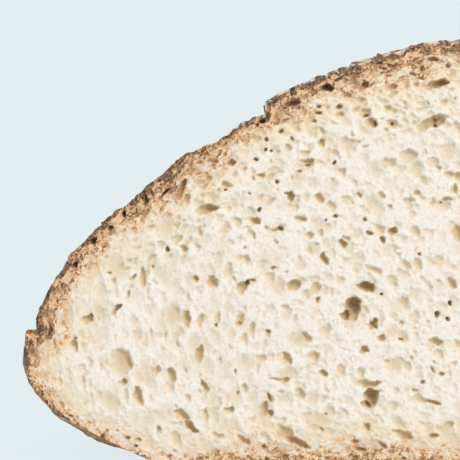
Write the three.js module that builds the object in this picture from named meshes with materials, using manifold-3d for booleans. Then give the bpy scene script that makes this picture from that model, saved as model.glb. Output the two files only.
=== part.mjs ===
// Country loaf: a large hearth loaf with one end cut away, baked as one piece and so one closed solid.
// Millimetres, +Z up. The cut face is flat and looks along -Y; the loaf rests on its flat, floury base.
import * as THREE from 'three';
import { mergeVertices } from 'three/addons/utils/BufferGeometryUtils.js';
import Module from 'manifold-3d';

const HALF_WIDTH = 122.5;      // of the whole loaf at its widest, across X
const HALF_LENGTH = 145;       // of the whole loaf, along Y
const PLAN_POWER = 2.2;        // 2 would be an ellipse in plan; this is a little squarer
const CUT_FORWARD = 32;        // how far the knife cut lies in front of the loaf's middle
const CROWN = 111.2;           // height of the top, behind the cut
const RIGHT_SHORTER = 0.02;    // the right side is this much narrower than the left
const RIGHT_LIFT = 3.5;        // and its widest point sits this much higher
const ROUND_STEPS = 72;        // facets round the loaf
const PROFILE_STEPS = 30;      // facets from the base over the side to the crown

// Half section at the cut: [half width, height] from the edge of the flat base, round the side, to the top.
const SECTION = [
  [88, 0], [98.8, 3.6], [105.3, 6.8], [111.8, 11.2], [116.4, 15.6], [119.4, 20.5], [120.4, 27],
  [119.6, 35], [117, 42.4], [111.8, 50.9], [103.5, 60.9], [91, 71.6], [78.8, 81.4], [68.9, 87.6],
  [58.5, 94.1], [46.8, 100.6], [33.8, 105.6], [20.8, 108.9], [7.8, 110.1],
];

const SLASH_WIDTH = 28;        // of the body that cuts a razor slash, which leaves the crust short of this
const SLASH_DEPTH = 2.4;       // at the lip that lifted
const SLASH_RUN_OUT = 1;       // how far over the crust that body's far edge and ends pass
const SLASH_LIP = 58.5;        // the lengthwise slashes' lips, left and right of the middle
const SLASH_BACK = 78;         // where the lengthwise slashes run out, behind the middle
const CROSS_SLASH_LIP = 62;    // the lip of the slash across the back
const CROSS_SLASH_HALF = 80;   // and its half length
const SLASH_END = 0.15;        // the part of a slash's length over which it runs out
const SLASH_STEPS = 22;        // facets along a slash
const CLEAR = 8;               // how far a cutting body stands proud of the crust

// Holes of the open crumb that the knife laid bare: [x, height, width, height of the hole, tilt in degrees].
const CRUMB_HOLES = [
  [-13.8, 98.8, 6.2, 2.6, 20], [-15.6, 88.1, 8.3, 3.6, 28], [-30.7, 87.9, 3.4, 3.2, 0],
  [-23.7, 79.3, 9.5, 3.2, 12], [-81.1, 70.5, 6.5, 1.6, 65], [-74.9, 65.5, 5.7, 2.6, 8],
  [-43.2, 53.0, 2.6, 3.0, 0], [-32.0, 45.8, 5.0, 2.9, -10], [-51.2, 46.3, 4.4, 3.2, 20],
  [-64.5, 46.0, 4.2, 3.6, -30], [-36.1, 40.0, 5.0, 6.6, -25], [-105.3, 37.4, 3.4, 2.8, 0],
  [-14.0, 32.0, 4.8, 2.4, 0], [-75.7, 28.6, 2.6, 6.2, 0], [-96.2, 25.0, 6.0, 8.6, 0],
  [-31.2, 17.7, 7.3, 5.2, 0], [-91.5, 17.4, 2.4, 5.7, 8], [-16.1, 15.9, 7.6, 2.2, 4],
  [-58.5, 14.3, 3.6, 6.5, -8], [-78.5, 10.7, 7.6, 3.4, -45],
  [12.4, 92.0, 7.4, 3.2, -18], [34.6, 84.4, 5.2, 3.0, -25], [20.5, 66.3, 4.6, 3.8, 10],
  [55.2, 70.4, 4.8, 2.6, -30], [8.6, 44.2, 5.4, 6.0, 20], [41.8, 50.6, 6.4, 3.2, -12],
  [74.0, 52.8, 3.8, 3.2, 0], [63.3, 33.6, 3.2, 6.8, 10], [29.4, 27.2, 7.2, 4.6, 8],
  [91.6, 30.8, 5.2, 7.0, 0], [80.2, 15.6, 6.6, 3.0, 38], [48.7, 11.9, 7.8, 2.8, 14],
];
const HOLE_DEPTH = 0.8;        // of a crumb hole, as a part of its smaller size

const wasm = await Module();
wasm.setup();

// Plan radius of a point, from 0 in the middle of the loaf to 1 at its widest outline.
const planRadius = (x, y) =>
  (Math.abs(x / HALF_WIDTH) ** PLAN_POWER + Math.abs(y / HALF_LENGTH) ** PLAN_POWER) ** (1 / PLAN_POWER);

// The section's widths turned into radii of the whole loaf, smoothed, and closed onto the axis at both ends.
function loafProfile() {
  const side = new THREE.SplineCurve([
    ...SECTION.map(([x, z]) => new THREE.Vector2(HALF_WIDTH * planRadius(x, CUT_FORWARD), z)),
    new THREE.Vector2(0, CROWN),
  ]);
  const points = side.getSpacedPoints(PROFILE_STEPS);
  points[0].y = 0;
  points.at(-1).x = 0;
  return [new THREE.Vector2(0, 0), ...points.map((p) => new THREE.Vector2(p.x, Math.max(p.y, 0)))];
}
const PROFILE = loafProfile();
const OVER_THE_TOP = PROFILE.slice(PROFILE.indexOf(PROFILE.reduce((a, b) => (b.x > a.x ? b : a))));

// Height of the crust over a point of the plan.
function crustHeight(x, y) {
  const radius = Math.min(HALF_WIDTH * planRadius(x, y), OVER_THE_TOP[0].x);
  const inner = OVER_THE_TOP.findIndex((p) => p.x <= radius);
  if (inner <= 0) return OVER_THE_TOP[0].y;
  const [outer, next] = [OVER_THE_TOP[inner - 1], OVER_THE_TOP[inner]];
  return THREE.MathUtils.mapLinear(radius, outer.x, next.x, outer.y, next.y);
}

// Moves every corner of a geometry by a function of its old place.
function shape(geometry, move) {
  const corners = geometry.attributes.position;
  for (let i = 0; i < corners.count; i++) {
    corners.setXYZ(i, ...move(corners.getX(i), corners.getY(i), corners.getZ(i)));
  }
  return geometry;
}

// A closed three.js geometry as a solid: shared corners merged, facets with no area dropped.
function solid(geometry) {
  const bare = geometry.clone();
  bare.deleteAttribute('normal');
  bare.deleteAttribute('uv');
  const { index, attributes } = mergeVertices(bare, 1e-4);
  const facets = [];
  for (let i = 0; i < index.count; i += 3) {
    const [a, b, c] = [index.getX(i), index.getX(i + 1), index.getX(i + 2)];
    if (a !== b && b !== c && c !== a) facets.push(a, b, c);
  }
  const make = (triVerts) => new wasm.Manifold(new wasm.Mesh({
    numProp: 3, vertProperties: new Float32Array(attributes.position.array), triVerts: new Uint32Array(triVerts),
  }));
  const result = make(facets);
  return result.volume() > 0 ? result : make(facets.reverse());
}

// The whole loaf: a lathe turned into a superellipse in plan, its right side a little narrower and higher.
function wholeLoaf() {
  return solid(shape(new THREE.LatheGeometry(PROFILE, ROUND_STEPS), (u, height, v) => {
    const radius = Math.hypot(u, v);
    if (radius < 1e-6) return [0, 0, height];
    const [east, north] = [u / radius, v / radius];
    const squareness = (Math.abs(east) ** PLAN_POWER + Math.abs(north) ** PLAN_POWER) ** (-1 / PLAN_POWER);
    const rightness = Math.max(east, 0);
    const lift = RIGHT_LIFT * rightness * (radius / HALF_WIDTH) ** 2 * Math.min(height / 20, 1);
    return [
      radius * squareness * east * (1 - RIGHT_SHORTER * rightness),
      radius * squareness * north * HALF_LENGTH / HALF_WIDTH,
      height + lift,
    ];
  }));
}

// A razor slash that the oven opened: deepest under its lip, running out to nothing across its width.
// place says where a point of the slash lies in plan, from how far it is across and along.
function slash(place, runsOutAtStart) {
  const body = new THREE.BoxGeometry(1, 1, 1, 2, SLASH_STEPS, 1);
  return solid(shape(body, (across, along, up) => {
    const [width, length] = [across + 0.5, along + 0.5];
    const [x, y] = place(width, length);
    const start = runsOutAtStart ? Math.min(length / SLASH_END, 1) : 1;
    const end = Math.min((1 - length) / SLASH_END, 1);
    const open = (1 - width) * Math.sqrt(start * end);
    const floor = THREE.MathUtils.lerp(SLASH_RUN_OUT, -SLASH_DEPTH, open);
    return [x, y, crustHeight(x, y) + (up > 0 ? CLEAR : floor)];
  }));
}

function slashes() {
  const lengthwise = (side) => slash((width, length) => [
    side * (SLASH_LIP + SLASH_WIDTH * width),
    THREE.MathUtils.lerp(-CUT_FORWARD - CLEAR, SLASH_BACK, length),
  ], false);
  const across = slash((width, length) => [
    THREE.MathUtils.lerp(-CROSS_SLASH_HALF, CROSS_SLASH_HALF, length),
    CROSS_SLASH_LIP + SLASH_WIDTH * width,
  ], true);
  return [lengthwise(-1), lengthwise(1), across];
}

function crumbHole([x, z, width, height, tilt]) {
  const ball = new THREE.SphereGeometry(1, 12, 8);
  ball.scale(width / 2, HOLE_DEPTH * Math.min(width, height), height / 2);
  ball.rotateY(-THREE.MathUtils.degToRad(tilt));
  ball.translate(x, -CUT_FORWARD, z);
  return solid(ball);
}

// The cut-off front end, as one block to take away.
function cutAway() {
  const block = new THREE.BoxGeometry(4 * HALF_WIDTH, HALF_LENGTH, 4 * CROWN);
  block.translate(0, -CUT_FORWARD - HALF_LENGTH / 2, 0);
  return solid(block);
}

function cutLoaf() {
  let loaf = wholeLoaf();
  for (const body of [...slashes(), cutAway(), ...CRUMB_HOLES.map(crumbHole)]) {
    loaf = loaf.subtract(body);
  }
  const { vertProperties, triVerts } = loaf.getMesh();
  const geometry = new THREE.BufferGeometry();
  geometry.setAttribute('position', new THREE.BufferAttribute(vertProperties, 3));
  geometry.setIndex(new THREE.BufferAttribute(triVerts, 1));
  geometry.computeBoundingBox();
  const { min, max } = geometry.boundingBox;
  geometry.translate(-(min.x + max.x) / 2, -(min.y + max.y) / 2, -min.z);
  return geometry;
}

const group = new THREE.Group();
const loaf = new THREE.Mesh(
  cutLoaf(),
  new THREE.MeshStandardMaterial({ color: 0xc9a06b, roughness: 0.85, metalness: 0 }),
);
loaf.name = 'loaf';
group.add(loaf);

export default group;
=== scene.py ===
import math

import bpy
import numpy as np
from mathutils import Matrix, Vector
from mathutils.kdtree import KDTree


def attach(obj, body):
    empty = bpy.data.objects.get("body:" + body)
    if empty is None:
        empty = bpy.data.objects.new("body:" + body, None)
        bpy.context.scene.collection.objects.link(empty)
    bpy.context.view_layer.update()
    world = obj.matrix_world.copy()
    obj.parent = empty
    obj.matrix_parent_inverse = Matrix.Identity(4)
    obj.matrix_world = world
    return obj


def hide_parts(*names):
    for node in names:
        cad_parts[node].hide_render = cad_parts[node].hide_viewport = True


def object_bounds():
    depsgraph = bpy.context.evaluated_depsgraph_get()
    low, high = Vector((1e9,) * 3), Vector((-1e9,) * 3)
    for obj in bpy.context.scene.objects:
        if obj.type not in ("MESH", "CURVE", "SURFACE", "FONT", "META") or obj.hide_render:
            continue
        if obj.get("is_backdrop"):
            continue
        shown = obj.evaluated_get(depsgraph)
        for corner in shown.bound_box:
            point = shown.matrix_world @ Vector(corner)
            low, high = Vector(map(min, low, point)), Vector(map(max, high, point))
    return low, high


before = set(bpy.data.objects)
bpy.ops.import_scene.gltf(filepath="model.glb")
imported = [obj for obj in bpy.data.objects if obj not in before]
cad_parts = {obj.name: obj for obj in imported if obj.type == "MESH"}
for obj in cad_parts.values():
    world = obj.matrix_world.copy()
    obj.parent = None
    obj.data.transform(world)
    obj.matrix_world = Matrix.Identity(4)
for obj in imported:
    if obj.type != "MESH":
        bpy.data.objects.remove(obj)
cad_low, cad_high = (np.array(corner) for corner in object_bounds())

# ---------------------------------------------------------------- The loaf
# A big sourdough country loaf: proved in a coiled basket, floured, slashed, and baked on an oven floor
# as one piece. A knife took off its front end, so it shows its open crumb, and it rests on its flat base.
MM = 0.001
loaf_width, loaf_depth, loaf_height = (cad_high - cad_low) / MM
RIGHT_SHORTER = 0.02  # the right side is this much narrower than the left
RIGHT_LIFT = 3.5  # and its widest point sits this much higher
CUT_SHARE = 32 / 145  # how far before the middle the knife went in, as a share of the half length
PLAN_POWER = 2.2  # 2 would be an ellipse in plan; this is a little squarer
half_width = loaf_width / (2 - RIGHT_SHORTER)
half_length = loaf_depth / (1 + CUT_SHARE)
cut_y = -CUT_SHARE * half_length  # measured from the loaf's middle, as all the millimetres below are
middle = np.array([cad_low[0] / MM + half_width, cad_high[1] / MM - half_length, 0])

CELL = 0.25  # mesh size on the cut face
RIM_STEP = 0.3  # and on the crust beside the knife cut
CRUST_STEP = 0.62  # and on the rest of the crust

# Half section at the cut: half width and height, from the edge of the flat base round the side to the top.
SECTION = [
    (88, 0), (98.8, 3.6), (105.3, 6.8), (111.8, 11.2), (116.4, 15.6), (119.6, 20.5), (120.6, 27),
    (119.6, 35), (116.2, 42.2), (110.8, 50.4), (103.6, 59.6), (90, 71.1), (78, 80.4), (68.9, 87.6),
    (58.4, 93.6), (46.6, 99.6), (33.6, 104.2), (20.7, 108.2), (7.8, 110),
]


def plan_radius(x, y):
    """From 0 in the middle of the loaf to 1 at its widest outline."""
    power = np.abs(x / half_width) ** PLAN_POWER + np.abs(y / half_length) ** PLAN_POWER
    return power ** (1 / PLAN_POWER)


def smooth_line(points, per_span=24):
    """A Catmull-Rom curve through points."""
    p = np.array([points[0], *points, points[-1]], float)
    t = np.linspace(0, 1, per_span, endpoint=False)[:, None]
    spans = [
        0.5 * (2 * b + (c - a) * t + (2 * a - 5 * b + 4 * c - d) * t**2 + (3 * b - a - 3 * c + d) * t**3)
        for a, b, c, d in zip(p, p[1:], p[2:], p[3:])
    ]
    return np.vstack([*spans, p[-1:]])


# The side in profile, as plan radius and height: under its widest line, and over it.
side_line = smooth_line([(plan_radius(x, cut_y), z) for x, z in SECTION] + [(0, loaf_height)])
widest = side_line[:, 0].argmax()
under_line, over_line = side_line[: widest + 1], side_line[: widest - 1 : -1]
reach = side_line[widest, 0]


def ease(x, start, end):
    """0 before start, 1 after end, smooth between them."""
    t = np.clip((x - start) / (end - start), 0, 1)
    return t * t * (3 - 2 * t)


AXIS_PRIMES = (73856093, 19349663, 83492791)  # they spread neighbouring cells over a table of random numbers


def grain(points, size, seed):
    """Smooth random relief from -1 to 1, with features of about that size."""
    table = np.random.default_rng(seed).uniform(-1, 1, 1 << 16).astype(np.float32)
    q = (np.asarray(points) / size).astype(np.float32)
    cell = np.floor(q)
    t = q - cell
    t = (t * t * (3 - 2 * t)).T
    keys = (cell.astype(np.int64) * AXIS_PRIMES).T
    sides = [(key, key + step) for key, step in zip(keys, AXIS_PRIMES)]
    values = []
    for key_z in sides[2]:
        for key_y in sides[1]:
            pair = [table[((k ^ key_y ^ key_z) >> 7) & 0xFFFF] for k in sides[0]]
            values.append(pair[0] + (pair[1] - pair[0]) * t[0])
    near = values[0] + (values[1] - values[0]) * t[1]
    far = values[2] + (values[3] - values[2]) * t[1]
    return near + (far - near) * t[2]


def layered(points, size, seed, layers=3):
    """Relief in several sizes, each half the last."""
    return sum(grain(points, size / 2**i, seed + i) / 2**i for i in range(layers)) / 1.6


def section_outline(y):
    """The loaf's outline where a plane at y cuts it, from under its middle and round: its x, z and way."""
    near = min(abs(y) / half_length, 0.9995)
    low, high = np.interp(near, *under_line.T), np.interp(near, *over_line.T)
    centre = low + 0.4 * (high - low)
    angle = np.linspace(-0.5 * math.pi, 1.5 * math.pi, 2401)
    ray_x, ray_z = np.cos(angle), np.sin(angle)
    # Halving finds how far each ray from the centre runs inside the loaf.
    inside, outside = np.zeros(len(angle)), np.full(len(angle), 1.2 * half_width)
    for _ in range(18):
        length = (inside + outside) / 2
        radius = plan_radius(length * ray_x, y)
        z = centre + length * ray_z
        within = (radius < reach) & (z > np.interp(radius, *under_line.T))
        within &= z < np.interp(radius, *over_line.T)
        inside, outside = np.where(within, length, inside), np.where(within, outside, length)
    x, z = inside * ray_x, centre + inside * ray_z
    z = np.where(z < 0.02, 0, z)
    rightness = np.clip(x / half_width, 0, 1)
    z += RIGHT_LIFT * rightness**2 * np.minimum(z / 20, 1)
    x *= 1 - RIGHT_SHORTER * rightness
    way = np.concatenate([[0], np.hypot(np.diff(x), np.diff(z)).cumsum()])
    return x, z, way


def row_points(y, outline, shares):
    """Points on an outline, at these shares of its way round."""
    x, z, way = outline
    at = np.asarray(shares) * way[-1]
    return np.stack([np.interp(at, way, x), np.full(len(at), y), np.interp(at, way, z)], 1)


# Razor slashes, opened by the oven: one along each shoulder and one across behind the crown.
SLASH_LIP = 59.0  # how far out from the middle the lips of the shoulder slashes lie
SLASH_BACK = 78.0  # and where these slashes end, behind the middle
CROSS_LIP = 62.0  # how far behind the middle the lip of the cross slash lies
CROSS_HALF = 80.0  # and half its length
SLASH_OPEN = 20.0  # how wide a slash opened
SLASH_DROP = 2.3  # and how deep
SLASH_FADE = 18.0  # over which its end runs out
SLASH_WANDER = 0.55  # how much its lip follows the uneven dough


def slashes(p, wander):
    """For each kind of slash, how far outside its lip a point lies, and how much of it is left there."""
    x, y, z = p.T
    top = ease(z, 36, 60)  # no slash runs down the sides
    shoulder = np.abs(x) - SLASH_LIP + wander * SLASH_WANDER + 1.5 * ease(y, cut_y, cut_y + 10)
    shoulder_there = top * (1 - ease(y + wander, SLASH_BACK - SLASH_FADE, SLASH_BACK))
    cross_there = top * (1 - ease(np.abs(x) + wander, CROSS_HALF - SLASH_FADE, CROSS_HALF))
    return (shoulder, shoulder_there), (y - CROSS_LIP + wander * SLASH_WANDER, cross_there)


def slash_profile(across, there):
    """Relief and openness of a slash, where across is how far outside its lip a point lies."""
    open_part = ease(across, -0.6, 1.0) * (1 - ease(across, 0.62 * SLASH_OPEN, SLASH_OPEN))
    lip = ease(across, -16, -1.2) * (1 - ease(across, -1.2, 0.4))
    return (-SLASH_DROP * open_part + 0.45 * lip) * there, open_part * there


TEAR_HEIGHT = 34.8  # of the torn ledge, where the knife cut it


def side_tear(p, wander):
    """Where the side tore along its widest line, the part above drew back from the part below."""
    x, y, z = p.T
    tear_z = TEAR_HEIGHT - 3.0 * np.sin((y - cut_y) / 26) + 0.5 * wander * ease(y, cut_y, cut_y + 8)
    left = ease(-x, 40, 90) * (1 - ease(y, cut_y + 52, cut_y + 86))
    right = ease(x, 40, 90) * ease(y, cut_y + 20, cut_y + 40) * (1 - ease(y, cut_y + 70, cut_y + 110))
    above, below = z - tear_z, tear_z - z
    step = -1.9 * ease(above, -0.3, 0.4) * np.exp(-np.clip(above, 0, None) / 6)
    step += 0.7 * ease(below, -0.4, 0.3) * np.exp(-np.clip(below, 0, None) / 8)
    return (left + 0.6 * right) * step


# Blisters, and small bubbles that broke open: how many, least and most radius, rise, seed of their places.
BUBBLES = [(420, 1.2, 3.2, 0.34, 71), (520, 0.5, 1.1, -0.5, 72)]


def bubbles(p, count, least, most, rise, seed):
    """Relief of round bubbles of one kind, each on one of the points."""
    rng = np.random.default_rng(seed)
    heights = np.zeros(len(p))
    centres = p[rng.integers(0, len(p), count)]
    radii = rng.uniform(least, most, count)
    order = np.argsort(p[:, 1], kind="stable")
    sorted_y = p[order, 1]
    for centre, radius in zip(centres, radii):
        first, last = np.searchsorted(sorted_y, (centre[1] - radius, centre[1] + radius))
        near = order[first:last]
        near = near[np.abs(p[near, 0] - centre[0]) < radius]
        away = ((p[near] - centre) ** 2).sum(1) / radius**2
        hit = near[away < 1]
        heights[hit] = rise * min(radius, 1.4) * (1 - away[away < 1]) ** 1.5
    return heights


def settling(p):
    """How the shape changes behind the cut: the crown dips, the crust rolls in, and the underside fills."""
    x, y, z = p.T
    dip = ease(y, cut_y + 2, cut_y + 20) * (1 - ease(y, cut_y + 30, cut_y + 70)) * ease(z, 58, 84)
    rolled = ease(y, cut_y, cut_y + 5) * (1 - ease(y, cut_y + 18, cut_y + 50)) * ease(z, 26, 36)
    drawn = np.exp(-(((np.hypot(x, 0.8 * y) - 106) / 11) ** 2)) * (1 - ease(z, 14, 30))
    filled = 3.0 * ease(y, cut_y, cut_y + 24) - 2.4
    return drawn * filled - 1.3 * dip - (1.0 + 0.9 * ease(z, 88, 100)) * rolled


COIL_WIDTH = 8.6  # of one turn of cane in the proving basket


def crust_relief(p):
    """How far the crust stands off its smooth shape, and how baked, floured and opened it is."""
    x, y, z = p.T
    wander = 2.2 * grain(p, 30, 11) + 0.8 * grain(p, 7, 12)  # it bends every line on the uneven dough
    relief = 1.0 * layered(p, 46, 1) + 0.5 * layered(p, 9, 5) + 0.28 * layered(p, 2.6, 8)
    relief = relief + 0.9 * np.clip(grain(p, 4.2, 14) - 0.3, 0, None)
    opening, lips = np.zeros(len(p)), np.zeros(len(p))
    deeper = 1 + 0.9 * ease(y, cut_y + 4, cut_y + 34)
    for across, there in slashes(p, wander):
        height, part = slash_profile(across, there)
        relief = relief + deeper * height * (1 - 0.6 * opening)
        opening = np.maximum(opening, part)
        lips = lips + np.exp(-(((across + 1.2) / 2.2) ** 2)) * there
    relief = relief + opening * (0.7 * layered(p * (1, 0.35, 1), 3.6, 21) + 0.35 * grain(p, 1.3, 24))
    # The basket's coils leave low steps round the loaf, worn away in places.
    coil = (plan_radius(x, y) * half_width + 0.7 * wander) / COIL_WIDTH % 1
    coil_step = coil**3 - 0.25
    coil_left = ease(layered(p, 34, 31), -0.6, 0.25) * ease(z, 26, 44) * (1 - opening)
    coil_left = coil_left * (0.4 + 0.6 * ease(y, cut_y + 2, cut_y + 16))
    relief = relief + 1.1 * coil_step * coil_left
    relief = relief + side_tear(p, wander)
    for kind in BUBBLES:
        relief = relief + bubbles(p, *kind) * (1 - opening)
    # The base lay on the oven floor: it is flat, with shallow marks pressed up into it.
    base = 1 - ease(z, 0.1, 5)
    relief = relief * (1 - base) - base * 0.22 * np.abs(layered(p, 5, 41)) + settling(p)
    relief = relief + 0.3 * grain(p, 1.6, 9) * (1 - ease(y, cut_y + 3, cut_y + 9)) * ease(z, 6, 20)
    # Lips of slashes and whatever stands proud bake darkest. Flour stays between the coils and low down,
    # and some is rubbed off beside the cut.
    low = 1 - ease(z, 12, 30)
    heat = 0.62 + 0.34 * layered(p, 26, 51) + 0.22 * coil_step * coil_left - 0.42 * opening
    heat = heat + 0.4 * lips + 0.15 * ease(relief, 0.3, 1.6) - 0.22 * low
    flour_ring = ease(coil, 0.06, 0.3) * (1 - ease(coil, 0.58, 0.86)) * coil_left
    flour = 0.16 * ease(z, 40, 84) + 0.85 * flour_ring + 0.42 * layered(p, 14, 61) - 0.06
    flour = flour + 0.72 * low * (0.7 + 0.3 * np.sin(2.4 * z + 3 * grain(p, 12, 62)))
    near_cut = 0.6 * (1 - ease(y, cut_y + 2, cut_y + 14)) * (1 - low)
    flour = flour * (1 - opening) * (1 - near_cut) * (1 - 0.8 * np.minimum(lips, 1)) + 0.4 * base
    return relief, np.clip(heat, 0, 1), np.clip(flour, 0, 1), opening


# Rows of crust from the knife cut to the back, closer where they meet the cut face.
lean, leans = math.asin(cut_y / half_length), []
while lean < 0.5 * math.pi - 0.4 * CRUST_STEP / half_length:
    leans.append(lean)
    from_cut = half_length * math.sin(lean) - cut_y
    lean += (RIM_STEP + (CRUST_STEP - RIM_STEP) * min(from_cut / 6, 1)) / half_length
rows = half_length * np.sin(leans)
outlines = [section_outline(y) for y in rows]

# A row has fewer points than the last wherever it has become short enough.
counts = []
for y, (_, _, way) in zip(rows, outlines):
    wanted = max(int(way[-1] / (1.1 * RIM_STEP if y < cut_y + 2.5 else CRUST_STEP)), 12)
    counts.append(wanted if not counts or wanted < 0.62 * counts[-1] else counts[-1])
shares = [np.arange(n) / n for n in counts]
# The first row is the cut face's edge. It is measured finely, and thinned later to the face's own corners.
EDGE_POINTS = 6000
shares[0] = np.arange(EDGE_POINTS) / EDGE_POINTS
loops = [row_points(y, outline, share) for y, outline, share in zip(rows, outlines, shares)]


def outward(loop, y):
    """The smooth loaf's surface direction at points of a row."""
    ahead = np.roll(loop, -1, 0) - np.roll(loop, 1, 0)
    flat = np.stack([ahead[:, 2], np.zeros(len(loop)), -ahead[:, 0]], 1)
    flat /= np.maximum(np.linalg.norm(flat, axis=1), 1e-9)[:, None]
    lean = np.sign(y) * (abs(y) / half_length) ** 2.4
    flat[:, 1] = lean * ease(y, cut_y, cut_y + 4)
    side = math.sqrt(max(1 - lean**2, 0))
    flat[:, [0, 2]] *= side
    return flat


points = np.vstack(loops)
normals = np.vstack([outward(loop, y) for loop, y in zip(loops, rows)])
relief, heat, flour, opening = crust_relief(points)
points = points + normals * relief[:, None]
points[:, 2] = np.maximum(points[:, 2], 0)
points[:, 1] = np.clip(points[:, 1], cut_y, None)
starts = np.cumsum([0] + [len(share) for share in shares])
edge = points[: starts[1]]

# ---- The cut face: a fine lattice of crumb inside the crust's edge, sunk wherever the knife opened a hole.
x_line = np.arange(-half_width - 2, half_width + 2, CELL)
z_line = np.arange(-CELL / 2, loaf_height + 4, CELL)
lattice_x, lattice_z = (grid.T for grid in np.meshgrid(x_line, z_line))
heart = np.array([0, 42.0])  # a point well inside, round which the edge is measured
edge_angle = np.unwrap(np.arctan2(edge[:, 2] - heart[1], edge[:, 0] - heart[0]))
edge_angle = np.maximum.accumulate(edge_angle) + np.arange(len(edge)) * 1e-9
edge_radius = np.hypot(edge[:, 0] - heart[0], edge[:, 2] - heart[1])
angle = np.arctan2(lattice_z - heart[1], lattice_x - heart[0])
angle = (angle - edge_angle[0]) % (2 * math.pi) + edge_angle[0]
full_angle = np.append(edge_angle, edge_angle[0] + 2 * math.pi)
allowed = np.interp(angle, full_angle, np.append(edge_radius, edge_radius[0]))
inside = np.hypot(lattice_x - heart[0], lattice_z - heart[1]) < allowed - 0.35 * CELL
whole = inside[:-1, :-1] & inside[1:, :-1] & inside[1:, 1:] & inside[:-1, 1:]


def only_main_patch(whole):
    """Drops cells that hang on by a corner or a single side, so that the patch has one plain border."""
    for _ in range(6):
        padded = np.pad(whole, 1)
        beside = [padded[2:, 1:-1], padded[:-2, 1:-1], padded[1:-1, 2:], padded[1:-1, :-2]]
        whole = whole & (np.sum(beside, 0) >= 2)
    return whole


CELL_CORNERS = ((0, 0), (1, 0), (1, 1), (0, 1))
whole = only_main_patch(whole)
cell_i, cell_j = np.nonzero(whole)
used = np.zeros(lattice_x.shape, bool)
for di, dj in CELL_CORNERS:
    used[cell_i + di, cell_j + dj] = True
number = np.full(lattice_x.shape, -1)
number[used] = np.arange(used.sum())
face_quads = np.stack([number[cell_i + di, cell_j + dj] for di, dj in CELL_CORNERS], 1)


def border_of(quads):
    """The corners along the border of a patch of cells, in order."""
    sides = np.vstack([quads[:, [k, (k + 1) % 4]] for k in range(4)])
    size = sides.max() + 1
    key, back = sides[:, 0] * size + sides[:, 1], sides[:, 1] * size + sides[:, 0]
    after = dict(sides[~np.isin(key, back)].tolist())
    start = next(iter(after))
    walk = [start]
    while after[walk[-1]] != start:
        walk.append(after[walk[-1]])
    if len(walk) != len(after):
        raise RuntimeError(f"the cut face's border is in pieces: {len(walk)} of {len(after)}")
    return np.array(walk)


border = border_of(face_quads)
face_x, face_z = lattice_x[used], lattice_z[used]
edge_tree = KDTree(len(edge))
for i, (x, _, z) in enumerate(edge):
    edge_tree.insert((x, 0, z), i)
edge_tree.balance()
nearest = [edge_tree.find((x, 0, z)) for x, z in zip(face_x, face_z)]
rind = np.array([found[2] for found in nearest])  # how deep in the bread, under the crust's outside
rind_at = np.array([found[1] for found in nearest])  # the edge point it lies nearest to

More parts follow.
